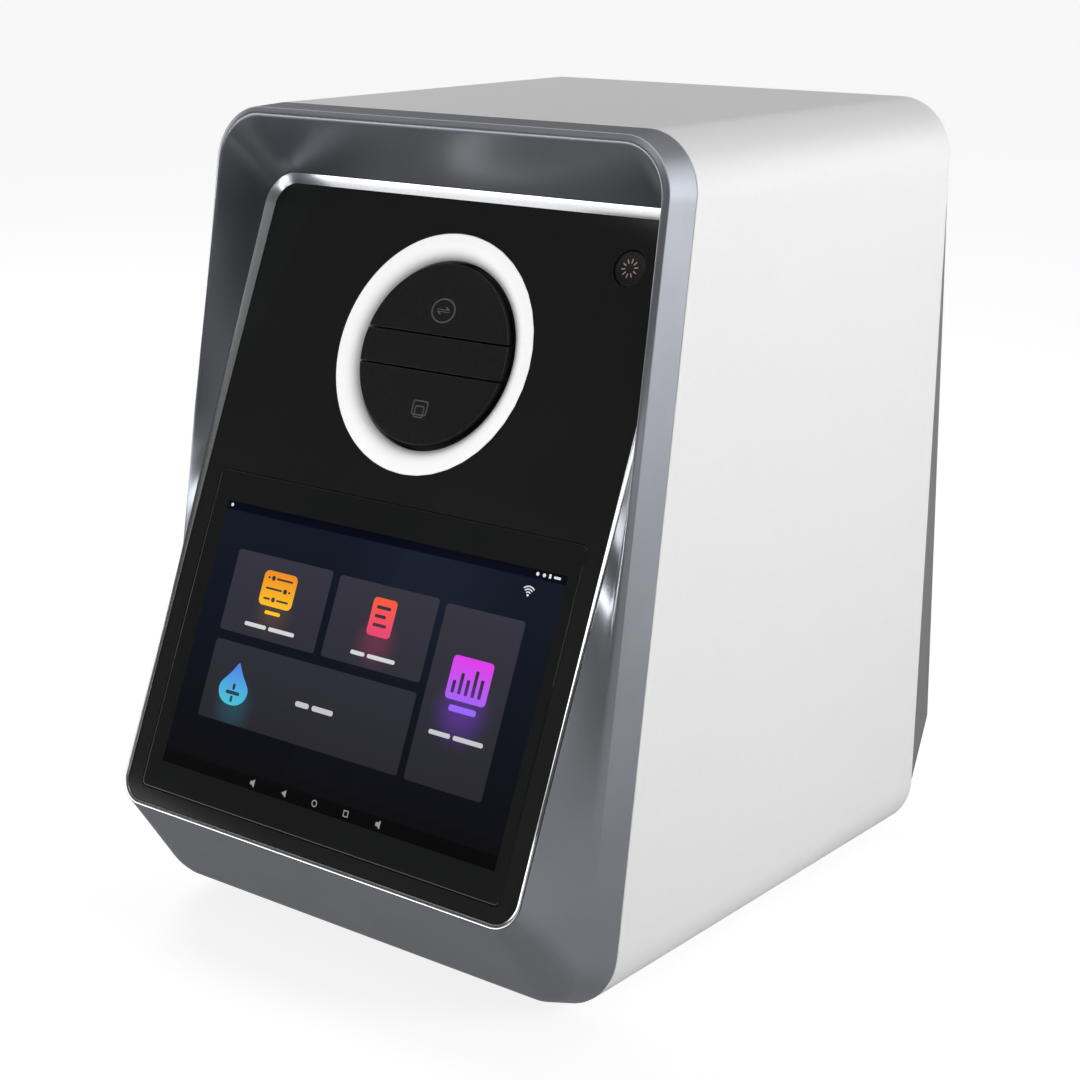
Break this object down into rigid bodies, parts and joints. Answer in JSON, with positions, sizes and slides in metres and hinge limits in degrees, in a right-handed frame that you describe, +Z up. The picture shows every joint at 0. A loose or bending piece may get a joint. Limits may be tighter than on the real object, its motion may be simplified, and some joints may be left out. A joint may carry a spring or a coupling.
{
  "type": "hematology analyzer",
  "caption": "Tabletop blood analyzer with a leaning touch panel in a hooded bezel, a lit round key pad, and a motor-driven cartridge tray that slides out through the pad.",
  "frame": {"origin": "on the surface the feet stand on, under the middle of the box that holds the whole object", "axes": "+Z up, front (panel and tray) towards -Y, +X to the right as seen from the front"},
  "size_m": [0.2826, 0.3574, 0.408],
  "materials": {
    "white_shell": "satin white paint",
    "gunmetal_bezel": "gunmetal metallic lacquer",
    "bright_trim": "satin silver",
    "black_gloss": "gloss black",
    "screen_glass": "polished dark glass",
    "ring_white": "milky diffuser, lit from behind",
    "key_black": "satin black",
    "grey_cover": "fine-textured mid grey",
    "black_plastic": "moulded black",
    "board_green": "solder-masked board",
    "sheet_steel": "zinc-plated sheet",
    "aluminium": "machined",
    "polished_steel": "ground bright",
    "tray_grey": "dark grey moulding",
    "acetal_white": "machined acetal",
    "brass": "machined",
    "rubber": "matt"
  },
  "bodies": {
    "housing": {"outer_shell": "white_shell", "front_bezel": "gunmetal_bezel", "trim_ring": "bright_trim", "front_panel": "black_gloss", "display_glass": "screen_glass", "display_module": "sheet_steel", "light_ring": "ring_white", "led_board": "board_green", "key_carrier": "black_plastic", "key_board": "board_green", "tray_rail_left": "acetal_white", "tray_rail_right": "acetal_white", "screw_bearing": "brass", "stepper_motor": "aluminium", "motor_bracket": "sheet_steel", "mechanism_deck": "sheet_steel", "deck_post_1": "aluminium", "deck_post_2": "aluminium", "deck_post_3": "aluminium", "deck_post_4": "aluminium", "base_plate": "sheet_steel", "foot_1": "rubber", "foot_2": "rubber", "foot_3": "rubber", "foot_4": "rubber", "mainboard": "board_green", "power_supply": "sheet_steel", "optics_bracket": "aluminium", "objective": "black_plastic", "camera_module": "black_plastic", "illuminator": "black_plastic", "rear_cover": "grey_cover", "fan_frame": "black_plastic", "power_inlet": "black_plastic", "switch_body": "black_plastic", "port_board": "board_green", "usb_port": "polished_steel", "network_port": "sheet_steel", "button_housing": "black_plastic", "button_switch": "black_plastic"},
    "tray": {"tray_front": "key_black", "cartridge_tray": "tray_grey", "tray_nut": "acetal_white"},
    "drive_screw": {"lead_screw": "polished_steel"},
    "upper_key_body": {"upper_key": "key_black"},
    "lower_key_body": {"lower_key": "key_black"},
    "button_body": {"power_button": "key_black"},
    "rocker_body": {"switch_rocker": "black_gloss"},
    "fan_body": {"fan_rotor": "black_plastic"}
  },
  "joints": [
    {"name": "tray_slide", "type": "slide", "parent": "housing", "child": "tray", "axis": [0, -1, 0], "range_m": [0, 0.09]},
    {"name": "screw_spin", "type": "hinge", "parent": "housing", "child": "drive_screw", "pos_m": [0.02, 0.08766, 0.28095], "axis": [0, 1, 0], "range_deg": [0, 4050.5]},
    {"name": "upper_key_press", "type": "slide", "parent": "housing", "child": "upper_key_body", "axis": [0, 0.9205, -0.3907], "range_m": [0, 0.001], "stiffness_N_per_m": 1000},
    {"name": "lower_key_press", "type": "slide", "parent": "housing", "child": "lower_key_body", "axis": [0, 0.9205, -0.3907], "range_m": [0, 0.001], "stiffness_N_per_m": 1000},
    {"name": "power_button_press", "type": "slide", "parent": "housing", "child": "button_body", "axis": [0, 0.9205, -0.3907], "range_m": [0, 0.0015], "stiffness_N_per_m": 600},
    {"name": "rocker_tilt", "type": "hinge", "parent": "housing", "child": "rocker_body", "pos_m": [-0.085, 0.17104, 0.15582], "axis": [1, 0, 0], "range_deg": [0, 20]},
    {"name": "fan_spin", "type": "hinge", "parent": "housing", "child": "fan_body", "pos_m": [0.055, 0.17232, 0.19587], "axis": [0, 0.9996, 0.028], "continuous": true}
  ],
  "couplings": [
    {"joint": "screw_spin", "follows": "tray_slide", "rad_per_m": 785.4}
  ]
}
